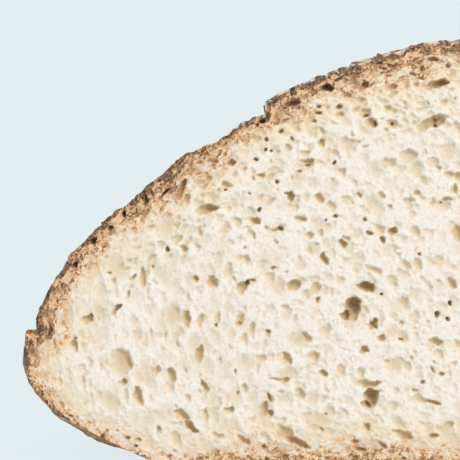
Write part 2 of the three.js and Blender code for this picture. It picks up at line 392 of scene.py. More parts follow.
# Holes of the crumb that show most: x, z, width, height, tilt in degrees, depth.
OPEN_HOLES = [
    (-105.3, 37.2, 3.4, 2.6, 15, 2.2), (-104.0, 38.2, 1.5, 1.6, 0, 2.4), (-102.5, 37.2, 1.8, 1.6, 0, 0.9),
    (-97.4, 39.5, 4.2, 1.1, 35, 2.0), (-96.4, 40.4, 2.3, 1.4, 15, 2.4), (-108.2, 30.4, 2.3, 3.0, 0, 1.8),
    (-108.0, 32.4, 1.0, 1.3, 0, 1.5), (-96.2, 26.0, 6.4, 8.0, -15, 1.5), (-94.2, 26.2, 2.2, 4.0, 0, 1.9),
    (-95.8, 21.2, 2.6, 2.6, 30, 1.9), (-105.8, 20.6, 1.3, 4.0, 0, 1.0), (-91.6, 17.4, 2.4, 5.6, 10, 2.0),
    (-86.2, 8.4, 1.4, 2.6, 0, 1.4), (-91.2, 22.8, 1.6, 1.6, 0, 0.9), (-88.2, 23.5, 3.0, 3.8, 0, 0.8),
    (-83.0, 22.6, 2.3, 4.6, 0, 1.8), (-79.0, 37.3, 2.8, 4.4, -10, 1.8), (-82.0, 39.2, 3.8, 2.4, 0, 1.2),
    (-75.3, 37.0, 1.8, 4.2, -10, 1.3), (-71.0, 37.2, 2.2, 3.8, 0, 0.9), (-71.2, 35.8, 0.9, 1.0, 0, 1.8),
    (-65.2, 37.3, 2.4, 3.8, -10, 1.4), (-65.5, 36.2, 1.9, 1.6, 0, 1.9), (-61.8, 34.4, 1.8, 4.2, -5, 1.2),
    (-57.7, 34.1, 1.8, 2.0, 0, 1.8), (-75.7, 28.5, 2.4, 5.8, -8, 2.0), (-53.0, 27.0, 2.6, 3.6, 15, 1.7),
    (-59.4, 27.0, 3.6, 2.4, 30, 1.1), (-55.4, 21.6, 5.6, 0.9, -8, 1.4), (-53.4, 21.3, 3.4, 1.4, 12, 1.9),
    (-74.1, 19.2, 1.9, 3.8, 5, 1.8), (-74.0, 12.4, 1.6, 4.0, 0, 1.3), (-78.6, 16.8, 2.4, 2.0, -30, 0.9),
    (-80.4, 12.2, 4.6, 2.6, -45, 2.0), (-77.8, 9.2, 4.6, 2.3, -38, 2.5), (-67.5, 13.4, 3.2, 2.2, 5, 1.6),
    (-65.5, 18.0, 1.6, 1.2, 45, 1.3), (-58.9, 13.6, 3.2, 4.8, 0, 2.0), (-57.2, 16.6, 1.6, 3.0, 20, 2.2),
    (-57.0, 12.8, 1.8, 1.8, 0, 2.1), (-49.4, 18.0, 2.4, 4.4, 25, 1.4), (-50.4, 5.6, 8.0, 2.0, -32, 2.6),
    (-53.6, 8.4, 5.4, 3.0, -25, 1.6), (-64.2, 5.9, 4.8, 1.7, -25, 1.8), (-70.8, 7.2, 3.6, 1.4, -28, 1.1),
    (-59.0, 4.0, 1.4, 1.0, 0, 1.8), (-47.8, 32.6, 2.6, 3.2, 0, 1.4), (-70.2, 27.1, 0.9, 0.9, 0, 1.2),
    (-66.2, 23.7, 0.8, 1.7, 0, 1.3), (-36.0, 40.0, 4.8, 6.9, -10, 4.0), (-38.0, 38.3, 3.0, 2.0, 10, 3.6),
    (-30.9, 35.3, 3.2, 2.2, 35, 2.7), (-29.9, 36.6, 1.2, 2.2, 0, 2.5), (-28.3, 32.2, 2.8, 2.6, 20, 1.9),
    (-32.8, 29.5, 1.8, 2.5, -10, 2.1), (-23.3, 32.0, 1.7, 0.8, -10, 2.1), (-14.2, 31.8, 4.8, 2.3, -10, 1.9),
    (-43.5, 23.4, 2.6, 2.2, -10, 1.7), (-38.8, 24.0, 1.8, 4.0, -15, 1.0), (-32.0, 20.3, 8.2, 1.9, 3, 1.8),
    (-34.0, 23.0, 2.4, 4.0, 20, 1.1), (-31.2, 16.8, 4.4, 4.6, -20, 3.2), (-32.4, 15.4, 2.6, 1.8, 0, 3.4),
    (-17.6, 21.0, 1.8, 1.3, 0, 1.7), (-19.5, 18.6, 2.0, 1.2, -30, 1.3), (-19.0, 16.2, 5.2, 2.4, -5, 1.1),
    (-15.2, 15.8, 5.4, 1.0, -12, 1.9), (-13.8, 38.6, 1.3, 2.3, -10, 2.5), (-11.0, 37.4, 1.3, 1.2, -40, 2.1),
    (-10.4, 41.6, 1.4, 1.7, 0, 3.0), (-22.9, 36.3, 2.0, 2.0, 0, 1.1), (-23.2, 41.4, 3.0, 3.2, 0, 1.1),
    (-32.0, 9.3, 2.3, 2.2, -20, 1.9), (-22.6, 7.5, 5.8, 2.2, -10, 1.7), (-14.7, 7.2, 3.3, 1.3, 5, 1.9),
    (-11.0, 9.6, 3.4, 2.4, 0, 1.3), (-42.8, 12.8, 1.2, 1.0, 20, 1.6), (-42.0, 13.0, 3.4, 4.0, 0, 0.8),
    (-45.8, 27.6, 2.8, 2.8, -20, 1.3), (-14.9, 24.2, 0.8, 2.5, 25, 1.5), (-12.8, 23.2, 2.1, 0.9, 10, 1.5),
    (-23.7, 26.4, 2.6, 1.8, 0, 0.9), (-27.0, 26.2, 1.6, 1.4, 0, 1.0), (-13.6, 28.4, 3.2, 3.2, 0, 0.9),
    (-44.0, 8.4, 2.0, 1.2, -40, 1.5), (-35.4, 5.6, 2.0, 1.2, 10, 1.7), (-28.2, 4.6, 3.2, 1.2, -35, 1.5),
    (-34.0, 3.6, 3.2, 0.7, -10, 1.8), (-80.6, 70.8, 7.6, 1.5, 63, 2.2), (-79.0, 68.2, 2.0, 3.0, 0, 1.2),
    (-84.8, 69.8, 4.6, 0.6, 45, 2.0), (-79.6, 55.5, 2.6, 2.7, 0, 1.7), (-84.1, 55.2, 1.3, 1.5, 0, 2.5),
    (-76.4, 56.4, 1.8, 2.0, 0, 1.0), (-82.4, 58.4, 3.2, 2.0, 0, 1.1), (-82.0, 61.8, 3.0, 1.6, 0, 0.9),
    (-87.6, 50.8, 1.3, 1.7, 0, 1.4), (-76.9, 47.9, 2.3, 1.8, 20, 1.9), (-90.4, 48.0, 1.8, 5.2, 0, 1.6),
    (-98.0, 47.2, 1.8, 2.2, 0, 1.3), (-98.8, 49.6, 1.3, 1.0, 0, 1.6), (-93.9, 43.8, 1.0, 2.1, -10, 1.5),
    (-94.0, 52.4, 2.4, 1.6, 0, 0.9), (-93.2, 48.0, 2.8, 0.9, 40, 1.4), (-67.2, 78.1, 2.1, 1.6, 10, 2.1),
    (-61.0, 78.9, 1.7, 1.0, 0, 2.1), (-59.4, 74.6, 2.3, 1.9, -20, 1.8), (-61.5, 74.0, 1.1, 1.4, 0, 1.2),
    (-68.8, 71.9, 1.9, 2.7, 0, 1.5), (-68.8, 70.9, 1.0, 0.7, 0, 2.2), (-73.2, 74.0, 1.8, 2.2, -20, 1.2),
    (-73.8, 65.9, 6.6, 3.0, 10, 2.7), (-62.4, 70.2, 1.1, 0.8, -40, 1.4), (-60.0, 65.8, 1.3, 1.9, -35, 2.3),
    (-61.3, 62.7, 3.3, 2.4, 10, 2.0), (-52.5, 69.4, 2.4, 2.5, 0, 2.5), (-55.4, 73.1, 1.3, 1.0, 10, 2.1),
    (-49.6, 75.7, 1.6, 0.8, 10, 1.8), (-47.9, 78.3, 4.0, 1.8, 20, 2.0), (-47.6, 77.4, 1.5, 0.8, 15, 3.0),
    (-40.6, 78.1, 1.7, 0.7, 45, 2.3), (-38.8, 75.9, 3.3, 2.2, -20, 1.2), (-44.6, 69.0, 2.7, 2.5, 0, 1.7),
    (-41.6, 67.0, 2.7, 3.1, 0, 1.1), (-40.4, 64.1, 1.5, 1.3, 0, 2.0), (-42.6, 63.3, 0.7, 0.9, 0, 2.2),
    (-49.4, 63.4, 3.4, 1.8, -5, 1.6), (-51.2, 66.4, 3.0, 2.7, 0, 1.0), (-54.5, 61.0, 1.7, 1.4, 30, 2.7),
    (-56.0, 60.4, 2.2, 0.9, 10, 1.5), (-58.0, 61.0, 1.3, 1.2, 0, 1.1), (-46.8, 59.4, 2.5, 1.8, 0, 1.3),
    (-44.2, 60.0, 1.6, 2.1, 0, 1.2), (-38.4, 57.0, 2.9, 2.5, -10, 2.1), (-37.2, 58.6, 2.3, 1.4, 0, 1.3),
    (-42.9, 53.0, 2.1, 3.3, 25, 2.3), (-47.0, 54.9, 2.0, 2.7, 0, 1.1), (-63.3, 53.0, 2.4, 3.1, 0, 1.2),
    (-61.7, 58.8, 1.4, 2.0, -20, 1.0), (-55.8, 57.1, 1.9, 1.6, 0, 0.9), (-56.6, 50.5, 1.5, 1.2, 20, 1.5),
    (-72.4, 47.2, 2.7, 3.7, 10, 1.9), (-64.9, 45.8, 3.8, 3.2, -10, 2.0), (-63.4, 46.6, 1.3, 2.7, -20, 3.0),
    (-61.9, 47.6, 2.0, 1.0, -10, 1.7), (-57.5, 47.6, 2.5, 4.2, 0, 1.0), (-51.2, 46.2, 3.7, 3.2, 10, 2.1),
    (-45.8, 45.0, 2.6, 4.0, -10, 1.3), (-44.8, 42.2, 1.1, 1.9, -15, 1.6), (-66.0, 62.6, 2.3, 2.9, 0, 1.0),
    (-26.8, 77.9, 5.4, 2.6, 10, 1.2), (-21.6, 79.8, 5.8, 3.4, 15, 1.3), (-15.0, 78.4, 4.6, 2.2, 20, 1.0),
    (-10.4, 75.0, 4.0, 1.8, -20, 1.3), (-8.4, 74.0, 2.4, 2.8, 0, 1.6), (-9.6, 71.4, 2.4, 3.0, -30, 1.5),
    (-12.7, 67.0, 4.2, 3.2, 5, 1.1), (-12.7, 67.7, 0.9, 0.7, 0, 2.2), (-34.1, 69.8, 1.9, 1.5, -15, 1.5),
    (-28.3, 69.3, 2.7, 1.8, -10, 1.1), (-21.5, 68.1, 3.3, 2.4, 5, 1.2), (-25.9, 66.6, 1.4, 1.3, 0, 1.1),
    (-32.5, 62.9, 1.4, 1.4, 0, 1.7), (-25.3, 60.2, 2.4, 2.7, -10, 2.4), (-31.5, 59.9, 2.3, 1.1, -10, 2.1),
    (-28.2, 58.3, 2.0, 2.0, 0, 2.0), (-18.9, 51.6, 2.4, 3.8, 0, 1.1), (-18.2, 54.2, 1.0, 1.0, 0, 1.8),
    (-8.6, 59.6, 3.2, 5.0, 0, 1.7), (-32.2, 45.8, 5.3, 2.7, -25, 3.6), (-30.2, 50.4, 4.6, 1.8, -20, 1.2),
    (-10.4, 46.8, 2.9, 3.0, -30, 1.6), (-25.4, 46.4, 2.4, 1.8, 0, 1.0), (-28.2, 43.9, 0.9, 0.8, 0, 2.4),
    (-51.4, 93.6, 4.2, 1.4, 8, 1.8), (-59.3, 88.9, 2.1, 1.0, 20, 2.0), (-53.4, 89.1, 3.2, 0.8, 25, 1.6),
    (-54.6, 86.4, 1.9, 1.2, 35, 2.1), (-58.4, 84.2, 1.1, 1.3, 0, 1.8), (-58.4, 81.4, 1.0, 1.4, -25, 2.4),
    (-56.8, 81.2, 1.0, 0.8, 0, 2.4), (-51.6, 84.2, 1.2, 1.2, 20, 1.7), (-52.7, 81.6, 2.7, 1.8, 20, 1.2),
    (-44.1, 82.8, 2.3, 2.1, 15, 1.9), (-44.6, 91.2, 2.1, 1.0, 0, 2.0), (-44.7, 92.9, 1.7, 0.9, 0, 1.6),
    (-45.8, 88.8, 1.9, 0.8, 10, 1.6), (-44.0, 86.0, 2.4, 2.4, 30, 1.0), (-71.8, 78.2, 1.8, 1.4, 20, 1.3),
    (-42.3, 97.4, 4.2, 1.9, 8, 2.8), (-32.9, 98.4, 2.5, 1.9, 0, 1.8), (-25.6, 97.6, 4.2, 1.5, 20, 1.6),
    (-37.6, 95.3, 2.7, 1.8, -5, 1.5), (-13.9, 98.7, 7.0, 2.4, 18, 3.3), (-39.3, 92.7, 1.7, 1.2, 20, 2.2),
    (-39.1, 90.6, 2.7, 1.4, 5, 1.4), (-32.6, 90.9, 3.3, 2.8, 0, 1.5), (-32.4, 90.2, 1.9, 1.0, 15, 2.7),
    (-30.8, 88.2, 3.1, 3.3, -20, 2.0), (-29.7, 88.2, 1.0, 1.7, 0, 3.3), (-27.0, 92.0, 2.9, 1.8, 0, 1.4),
    (-25.6, 88.0, 3.3, 2.7, -10, 1.4), (-25.5, 88.2, 0.9, 0.9, 0, 3.0), (-15.6, 88.2, 8.8, 3.1, 25, 2.5),
    (-14.2, 89.1, 1.3, 1.0, 0, 3.6), (-14.2, 87.8, 1.1, 0.9, 0, 3.6), (-37.4, 83.0, 4.6, 4.0, -30, 1.0),
    (-12.0, 82.0, 6.2, 1.7, 10, 0.9), (-9.0, 87.0, 2.8, 3.2, 0, 1.0), (-14.6, 105.0, 3.3, 1.3, 5, 2.0),
    (-17.5, 102.6, 1.3, 1.9, -10, 1.5), (-20.2, 101.2, 1.9, 1.0, 0, 1.6),
    (-18.3, 100.2, 2.3, 1.0, -10, 1.5), (-11.2, 103.0, 1.8, 2.1, -20, 1.5),
    (-95.0, 64.8, 1.3, 2.1, -10, 2.0), (-98.8, 60.9, 1.1, 1.3, 0, 2.0), (-107.8, 51.2, 1.5, 2.5, -30, 2.2),
    (-89.4, 68.2, 1.1, 3.0, 0, 1.8), (-103.2, 57.6, 1.6, 2.4, -20, 1.9), (-94.6, 6.8, 2.2, 1.5, -10, 1.6),
    (-91.8, 6.0, 2.4, 1.2, -25, 1.4), (-92.4, 4.2, 1.4, 1.0, 0, 1.6),
    # Round the right half.
    (12.4, 92.0, 7.4, 3.2, -18, 2.8), (34.6, 84.4, 5.2, 3.0, -25, 2.4), (20.5, 66.3, 4.6, 3.8, 10, 2.2),
    (55.2, 70.4, 4.8, 2.6, -30, 2.4), (8.6, 44.2, 5.0, 5.6, 20, 4.0), (41.8, 50.6, 6.4, 3.0, -12, 2.8),
    (74.0, 52.8, 3.8, 3.2, 0, 1.9), (63.3, 33.6, 3.2, 6.8, 10, 2.2), (29.4, 27.2, 6.6, 4.4, 8, 3.2),
    (91.6, 30.8, 5.0, 6.6, 0, 1.6), (80.2, 15.6, 6.6, 2.8, 38, 2.4), (48.7, 11.9, 7.8, 2.6, 14, 2.2),
    (5.0, 77.5, 3.2, 2.6, 0, 2.6), (30.8, 97.6, 4.2, 2.0, -16, 2.8), (68.4, 60.6, 3.0, 2.4, 0, 2.6),
    (14.8, 15.2, 6.2, 2.4, -6, 2.2), (101.5, 44.0, 3.2, 2.4, 0, 2.0), (50.8, 85.0, 3.4, 2.0, -30, 2.2),
    (2.4, 27.6, 3.8, 5.2, 14, 2.4), (36.9, 70.2, 3.0, 3.2, 0, 2.4), (84.6, 60.4, 5.2, 1.6, -58, 2.2),
    (56.4, 22.6, 3.0, 5.0, 0, 2.0), (24.4, 5.8, 7.0, 2.0, 24, 2.0), (104.8, 25.6, 2.4, 4.4, 0, 1.8),
]

crumb_rng = np.random.default_rng(2024)
sunk = np.zeros(lattice_x.shape)
rim = np.zeros(lattice_x.shape)
lattice = np.stack([lattice_x.ravel(), np.zeros(lattice_x.size), lattice_z.ravel()], 1)


def bend(seed):
    """How far the crumb pulls a hole's outline out of shape, over the lattice."""
    pull = 0.5 * grain(lattice, 3.1, seed) + 0.34 * grain(lattice, 1.2, seed + 1)
    pull = pull + 0.2 * grain(lattice, 0.6, seed + 2)
    return pull.reshape(lattice_x.shape)


bend_x, bend_z = bend(101), bend(105)


def sink_hole(x, z, width, height, tilt, depth, steep, slant, bent):
    """Sinks one hole into the cut face, its outline bent by the crumb round it, deeper towards its upper
    right by the slant. A steep of 0.5 makes a round-walled bubble and 1 a shallow dish."""
    turn = math.radians(tilt)
    reach_out = 0.6 * max(width, height) + 0.9 * bent
    i0, i1 = np.searchsorted(x_line, (x - reach_out, x + reach_out))
    j0, j1 = np.searchsorted(z_line, (z - reach_out, z + reach_out))
    window = (slice(i0, i1), slice(j0, j1))
    away_x = lattice_x[window] + bent * bend_x[window] - x
    away_z = lattice_z[window] + bent * bend_z[window] - z
    along = (away_x * math.cos(turn) + away_z * math.sin(turn)) / (width / 2)
    across = (away_z * math.cos(turn) - away_x * math.sin(turn)) / (height / 2)
    away = along**2 + across**2
    lean_in = 1 + slant * (away_x + away_z) / max(width, height)
    sunk[window] = np.maximum(sunk[window], depth * lean_in * np.clip(1 - away, 0, 1) ** steep)
    if steep < 0.9 and depth > 0.8:
        rim[window] = np.maximum(rim[window], 0.08 * np.exp(-(((np.sqrt(away) - 1.12) / 0.16) ** 2)))


def scatter_holes(count, usual, spread, least, most, depth_share, steep, slant, from_x=-half_width):
    """Random holes of about the usual size: upright low at the sides, lying down along the base, round
    above. Their depth is a share of their size."""
    xs = crumb_rng.uniform(from_x, half_width, count)
    zs = crumb_rng.uniform(0.5, loaf_height, count)
    sizes = np.clip(usual * np.exp(spread * crumb_rng.standard_normal(count)), least, most)
    stretch = crumb_rng.uniform(1.0, 1.45, count)
    turns = crumb_rng.normal(0, 25, count)
    deep = crumb_rng.uniform(0.5, 1.4, count)
    for x, z, size, longer, turn, depth in zip(xs, zs, sizes, stretch, turns, deep):
        at_side = ease(abs(x), 40, 80) * (1 - ease(z, 48, 66))
        by_base = 1 - ease(z, 8, 16)
        longer = longer + 0.5 * max(at_side, by_base)
        turn = turn + 90 * at_side * (1 - by_base) + math.copysign(24, x) * by_base
        depth = depth * depth_share * size
        sink_hole(x, z, size * longer, size, turn, depth, steep, slant, min(size / 1.6, 1))


# Wide shallow dishes first, then ever smaller bubbles between them, then the holes that show.
scatter_holes(1100, 3.2, 0.3, 2.0, 5.5, depth_share=0.14, steep=1.1, slant=0.7)
scatter_holes(3000, 1.8, 0.3, 1.1, 3.2, depth_share=0.26, steep=0.9, slant=0.8)
scatter_holes(9000, 1.0, 0.25, 0.6, 1.4, depth_share=0.22, steep=1.0, slant=0.5)
scatter_holes(700, 1.0, 0.32, 0.6, 1.8, depth_share=0.6, steep=0.6, slant=0.6)
scatter_holes(150, 2.1, 0.3, 1.1, 4.0, depth_share=0.8, steep=0.45, slant=0.9, from_x=-7)
under_crust = np.zeros(lattice_x.shape)
under_crust[used] = rind
sunk *= 0.3 + 0.7 * ease(under_crust, 1.2, 3.6)  # the crust set before bubbles could grow in it
for x, z, width, height, tilt, depth in OPEN_HOLES:
    bent = min(height, width, 2) / 2
    sink_hole(x, z, width, height, tilt, 0.9 * depth, steep=0.4, slant=0.9, bent=bent)

# Just under the crust the crumb is squeezed into small ragged hollows that lie along it.
EDGE_STRIDE = 8  # points of the edge to each side, over which its direction is taken
edge_ahead = np.roll(edge, -EDGE_STRIDE, 0) - np.roll(edge, EDGE_STRIDE, 0)
edge_turn = np.degrees(np.arctan2(edge_ahead[:, 2], edge_ahead[:, 0]))
edge_in = np.stack([-edge_ahead[:, 2], edge_ahead[:, 0]], 1)
edge_in /= np.linalg.norm(edge_in, axis=1)[:, None]


def scatter_under_crust(count, shallowest, deepest, least, most, depth_share, lowest=0.0):
    """Random hollows along the crust, between two depths under it, where the crust is higher than lowest."""
    for _ in range(count):
        at = crumb_rng.integers(0, len(edge))
        size = crumb_rng.uniform(least, most)
        x, z = edge[at, [0, 2]] + edge_in[at] * crumb_rng.uniform(shallowest, deepest)
        longer, turn = crumb_rng.uniform(1.2, 2.6), edge_turn[at] + crumb_rng.normal(0, 24)
        depth = size * depth_share * crumb_rng.uniform(0.6, 1.4)
        if edge[at, 2] >= lowest:
            sink_hole(x, z, size * longer, size, turn, depth, steep=0.6, slant=0.3, bent=0.5)


scatter_under_crust(4200, 0.5, 4.6, 0.35, 0.75, depth_share=0.45)
scatter_under_crust(420, 0.7, 3.6, 0.4, 0.95, depth_share=1.0)
scatter_under_crust(4600, 3.2, 9.0, 0.35, 0.9, depth_share=0.4)
scatter_under_crust(1100, 4.0, 22.0, 0.7, 1.7, depth_share=0.6, lowest=58.0)

hold_edge = ease(rind, 0.25, 0.9)
hollow = sunk[used] * hold_edge
face_lattice = lattice.reshape(*lattice_x.shape, 3)[used]
rough = 0.05 * layered(face_lattice, 1.2, 111) + 0.3 * layered(face_lattice, 14, 114)
crumb_y = hollow + (rough - rim[used] * (hollow < 0.05)) * hold_edge
crumb_y = np.maximum(crumb_y, 0)
face_points = np.stack([face_x, cut_y + crumb_y, face_z], 1)

# The lattice's border moves onto the crust's edge and becomes the crust's first row. Corners that are
# nearest to one and the same edge point are set a little apart.
order = border[::-1] if np.median(np.diff(rind_at[border])) < 0 else border
first = rind_at[order].argmin()
order = np.roll(order, -first)
places = np.maximum.accumulate(rind_at[order] + 0.0)
in_line = np.zeros(len(places))  # how many corners with the same place come before
for k in np.nonzero(np.diff(places) <= 0)[0] + 1:
    in_line[k] = in_line[k - 1] + 1
places = np.minimum(places + 0.35 * in_line, len(edge) - 0.5)
places = np.maximum.accumulate(places + np.arange(len(places)) * 1e-6)
edge_closed = np.vstack([edge, edge[:1]])
for axis in (0, 2):
    face_points[order, axis] = np.interp(places, np.arange(len(edge) + 1), edge_closed[:, axis])
face_points[order, 1] = cut_y
border_share = places / len(edge)

# ---- The crust's rows are sewn to that border, and to each other where a row has fewer points.
row_start = [None] + [len(face_points) + starts[k] - starts[1] for k in range(1, len(rows))]
back_point = (0, half_length + relief[-1], points[starts[-2]:, 2].mean())
all_points = np.vstack([face_points, points[starts[1]:], [back_point]])
pole = len(all_points) - 1


def sew(ids_a, share_a, ids_b, share_b):
    """Triangles between two closed rows, always taking the point that comes next on the way round."""
    a, b, faces = 0, 0, []
    n, m = len(ids_a), len(ids_b)
    next_a, next_b = np.append(share_a[1:], share_a[0] + 1), np.append(share_b[1:], share_b[0] + 1)
    while a < n or b < m:
        if b >= m or (a < n and next_a[a] <= next_b[b]):
            faces.append((ids_a[a % n], ids_a[(a + 1) % n], ids_b[b % m]))
            a += 1
        else:
            faces.append((ids_a[a % n], ids_b[(b + 1) % m], ids_b[b % m]))
            b += 1
    return np.array(faces)


triangles, quads = [], []
row_ids = [order] + [row_start[k] + np.arange(counts[k]) for k in range(1, len(rows))]
row_shares = [border_share] + shares[1:]
for k in range(1, len(rows)):
    if k > 1 and counts[k] == counts[k - 1]:
        a, b = row_ids[k - 1], row_ids[k]
        quads.append(np.stack([a, np.roll(a, -1), np.roll(b, -1), b], 1))
    else:
        triangles.append(sew(row_ids[k - 1], row_shares[k - 1], row_ids[k], row_shares[k]))
last = row_ids[-1]
triangles.append(np.stack([last, np.roll(last, -1), np.full(len(last), pole)], 1))
crust_quads, crust_triangles = np.vstack(quads), np.vstack(triangles)

# A face's turn decides which side is out: the crust's rows and the cut face have to agree.
p0, p1, p2 = (all_points[crust_quads[:, k]] for k in range(3))
if (np.cross(p1 - p0, p2 - p0) * (p0 - (0, 0, 40))).sum() < 0:
    crust_quads, crust_triangles = crust_quads[:, ::-1], crust_triangles[:, ::-1]
q0, q1, q2 = (all_points[face_quads[:, k]] for k in range(3))
if np.cross(q1 - q0, q2 - q0)[:, 1].sum() > 0:
    face_quads = face_quads[:, ::-1]

quads = np.vstack([face_quads, crust_quads])
corners = np.concatenate([quads.ravel(), crust_triangles.ravel()])
lengths = np.concatenate([np.full(len(quads), 4), np.full(len(crust_triangles), 3)])
loaf_mesh = bpy.data.meshes.new("country_loaf")
loaf_mesh.vertices.add(len(all_points))
loaf_mesh.vertices.foreach_set("co", ((all_points + middle) * MM).astype(np.float32).ravel())
loaf_mesh.loops.add(len(corners))
loaf_mesh.loops.foreach_set("vertex_index", corners.astype(np.int32))
loaf_mesh.polygons.add(len(lengths))
loaf_mesh.polygons.foreach_set("loop_start", (np.cumsum(lengths) - lengths).astype(np.int32))
crust_slot = np.ones(len(lengths), np.int32)
crust_slot[: len(face_quads)] = 0
loaf_mesh.polygons.foreach_set("material_index", crust_slot)
loaf_mesh.polygons.foreach_set("use_smooth", np.ones(len(lengths), bool))
loaf_mesh.update(calc_edges=True)

edge_ends = np.empty(2 * len(loaf_mesh.edges), np.int32)
loaf_mesh.edges.foreach_get("vertices", edge_ends)
on_cut_edge = np.zeros(len(all_points), bool)
on_cut_edge[order] = True
loaf_mesh.edges.foreach_set("use_edge_sharp", on_cut_edge[edge_ends.reshape(-1, 2)].all(1))


def keep_measure(name, on_face, on_crust):
    """Stores a measure at every corner of the mesh, for the materials to read."""
    values = np.zeros(len(all_points), np.float32)
    values[: len(face_points)] = on_face
    values[len(face_points): pole] = on_crust[starts[1]:]
    values[pole] = on_crust[-1]
    loaf_mesh.attributes.new(name, "FLOAT", "POINT").data.foreach_set("value", values)


# The crust is thick and dark over the top, ruddy and thin where a slash opened, and thin low at the sides.
edge_z, edge_x = edge[rind_at, 2], edge[rind_at, 0]
edge_opening = opening[: starts[1]][rind_at]
edge_heat = heat[: starts[1]][rind_at]
crown = ease(edge_z, 84, 96)
low_edge = 1 - ease(edge_z, 3, 16)
low_side = (1 - ease(edge_z, 12, 22)) * ease(np.abs(edge_x), 70, 84)
thickness = 2.6 + 0.9 * ease(edge_z, 40, 90) + 0.3 * ease(np.abs(edge_x), 100, 118)
thickness = thickness - 1.3 * edge_opening - 1.5 * low_side
thickness = thickness * (1 + 0.35 * layered(face_lattice, 7, 121) + 0.2 * grain(face_lattice, 2.2, 125))
edge_way = np.concatenate([[0], np.hypot(np.diff(edge[:, 0]), np.diff(edge[:, 2])).cumsum()])
not_on_crust = np.zeros(starts[-1])
keep_measure("toasted", rind / np.maximum(thickness, 0.7), not_on_crust)
keep_measure("rind", rind, not_on_crust)
keep_measure("along", edge_way[rind_at], not_on_crust)
keep_measure("hollow", hollow, not_on_crust)
keep_measure("baked", edge_heat * (1 - 0.9 * low_edge) + 0.3 * crown, heat)
keep_measure("flour", 0.85 * crown, flour)
keep_measure("opening", edge_opening, opening)

# A map for painting or baking: the cut face laid flat at the bottom, and above it the crust, unrolled from
# the cut to the back.
FACE_SCALE = 0.98 / loaf_width
MARGIN_U, MARGIN_V = 0.01, 0.005
CRUST_BOTTOM, CRUST_TALL, CRUST_WIDE = 0.465, 0.52, 0.975
map_u = np.zeros(len(all_points))
map_v = np.zeros(len(all_points))
map_u[: len(face_points)] = MARGIN_U + (face_points[:, 0] + half_width) * FACE_SCALE
map_v[: len(face_points)] = MARGIN_V + face_points[:, 2] * FACE_SCALE
share_of = np.zeros(len(all_points))
share_of[order] = border_share
share_of[len(face_points):] = np.concatenate(row_shares[1:] + [[0.5]])
row_reach = [np.abs(loop[:, 2]).max() for loop in loops]
row_way = np.concatenate([[0], np.hypot(np.diff(rows), np.diff(row_reach)).cumsum()])
crust_way = np.repeat(np.append(row_way[1:], row_way[-1] + 1), counts[1:] + [1])
way_of = np.full(len(all_points), CRUST_BOTTOM)
way_of[len(face_points):] = crust_way / row_way[-1] * CRUST_TALL + CRUST_BOTTOM
# A face that crosses the line where a row begins again takes its low shares one turn on.
is_crust = np.repeat(crust_slot == 1, lengths)
face_of_corner = np.repeat(np.arange(len(lengths)), lengths)
turn = share_of[corners]
most = np.zeros(len(lengths))
np.maximum.at(most, face_of_corner, turn)
turn = np.where((most[face_of_corner] - turn) > 0.5, turn + 1, turn)
corner_u = np.where(is_crust, MARGIN_U + turn * CRUST_WIDE, map_u[corners])
corner_v = np.where(is_crust, way_of[corners], map_v[corners])
bake_map = loaf_mesh.uv_layers.new(name="OFBake")
bake_map.data.foreach_set("uv", np.stack([corner_u, corner_v], 1).astype(np.float32).ravel())

country_loaf = bpy.data.objects.new("country_loaf", loaf_mesh)
bpy.context.collection.objects.link(country_loaf)
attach(country_loaf, "root")
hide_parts("loaf")


# ---- What the oven does to dough, as node groups that the crumb and the crust share.
def tint(code):
    """A colour written as six hex digits, as the shader wants it."""
    parts = [int(code[i: i + 2], 16) / 255 for i in (0, 2, 4)]
    return [c / 12.92 if c <= 0.04045 else ((c + 0.055) / 1.055) ** 2.4 for c in parts] + [1.0]


def feed(tree, socket, value):
    """Links a socket to another node's output, or sets its own number or colour."""
    if isinstance(value, bpy.types.NodeSocket):
        tree.links.new(value, socket)
    else:
        socket.default_value = value


def add(tree, kind, inputs=None, **settings):
    """A new node with its settings made and its inputs set or linked."""
    node = tree.nodes.new("ShaderNode" + kind)
    for name, value in settings.items():
        setattr(node, name, value)
    for name, value in (inputs or {}).items():
        feed(tree, node.inputs[name], value)
    return node


def sums(tree, operation, a, b=0.0, c=0.0, clamp=False):
    """The result of a Math node."""
    node = add(tree, "Math", operation=operation, use_clamp=clamp)
    for socket, value in zip(node.inputs, (a, b, c)):
        feed(tree, socket, value)
    return node.outputs[0]


def between(tree, value, low, high):
    """0 where value is low, 1 where it is high, smooth between."""
    ends = {"Value": value, "From Min": low, "From Max": high}
    return add(tree, "MapRange", ends, interpolation_type="SMOOTHSTEP").outputs[0]


def blend_colour(tree, share, first, second):
    """From the first colour to the second, by their share."""
    node = add(tree, "Mix", {0: share, 6: first, 7: second}, data_type="RGBA")
    return node.outputs[2]


def blend_number(tree, share, first, second):
    """From the first number to the second, by their share."""
    node = add(tree, "Mix", {0: share, 2: first, 3: second}, data_type="FLOAT")
    return node.outputs[0]


def measure(tree, name):
    """A measure that the mesh keeps at its corners."""
    return add(tree, "Attribute", attribute_name=name).outputs["Fac"]


def blank_tree(owner):
    """The node tree of a new material or world, emptied."""
    owner.use_nodes = True
    owner.node_tree.nodes.clear()
    return owner.node_tree


def stops(tree, value, *colours):
    """A colour ramp: each colour with its place."""
    node = add(tree, "ValToRGB", {"Fac": value})
    ramp = node.color_ramp
    while len(ramp.elements) < len(colours):
        ramp.elements.new(0.5)
    for element, (place, code) in zip(ramp.elements, colours):
        element.position, element.color = place, tint(code)
    return node.outputs["Color"]


